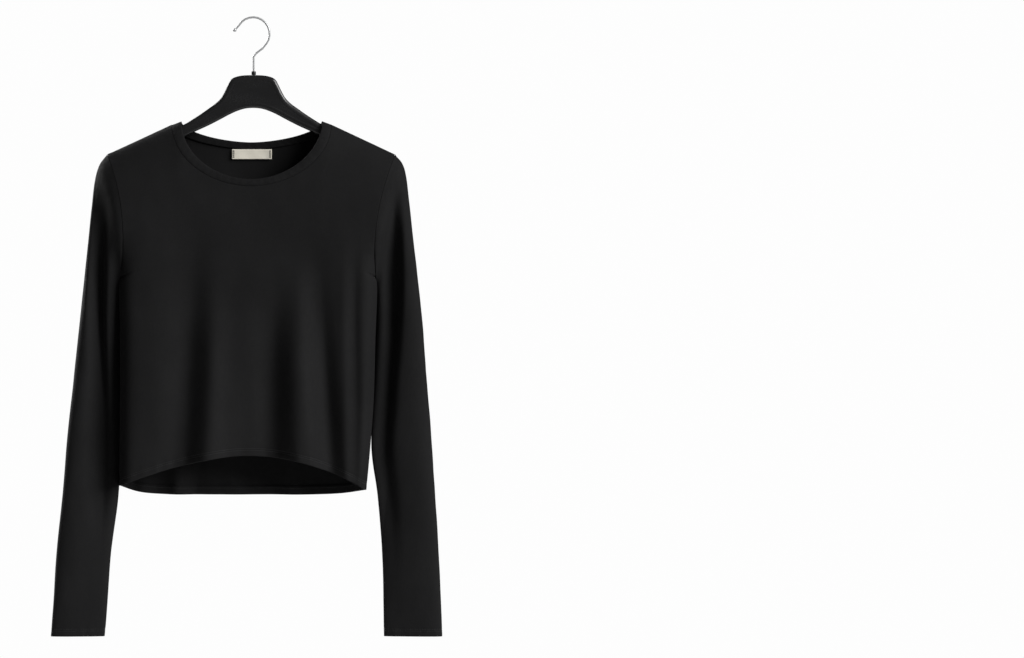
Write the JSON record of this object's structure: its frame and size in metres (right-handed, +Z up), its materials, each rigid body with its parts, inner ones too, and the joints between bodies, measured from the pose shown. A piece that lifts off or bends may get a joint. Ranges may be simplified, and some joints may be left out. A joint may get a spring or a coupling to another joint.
{
  "type": "crop top on a hanger",
  "caption": "Long-sleeved cropped jersey top with a low round neck, hanging open and nearly flat on a black plastic hanger with a wire hook.",
  "frame": {"origin": "inside of the hook's top, where the hanger rests on a rail", "axes": "+Z up, +X to the viewer's right as the front is seen, the front of the top faces -Y"},
  "size_m": [0.4935, 0.071, 0.7807],
  "materials": {
    "jersey": "fine black single jersey, matt with a slight soft sheen",
    "label_cloth": "cream woven tape, bare",
    "hanger_plastic": "satin black moulded plastic",
    "wire": "polished plated steel wire"
  },
  "bodies": {
    "root": {"front": "jersey", "back": "jersey", "sleeve_left": "jersey", "sleeve_right": "jersey", "neckband": "jersey", "label": "label_cloth", "hanger": "hanger_plastic", "collar": "hanger_plastic", "hook": "wire"}
  },
  "joints": []
}
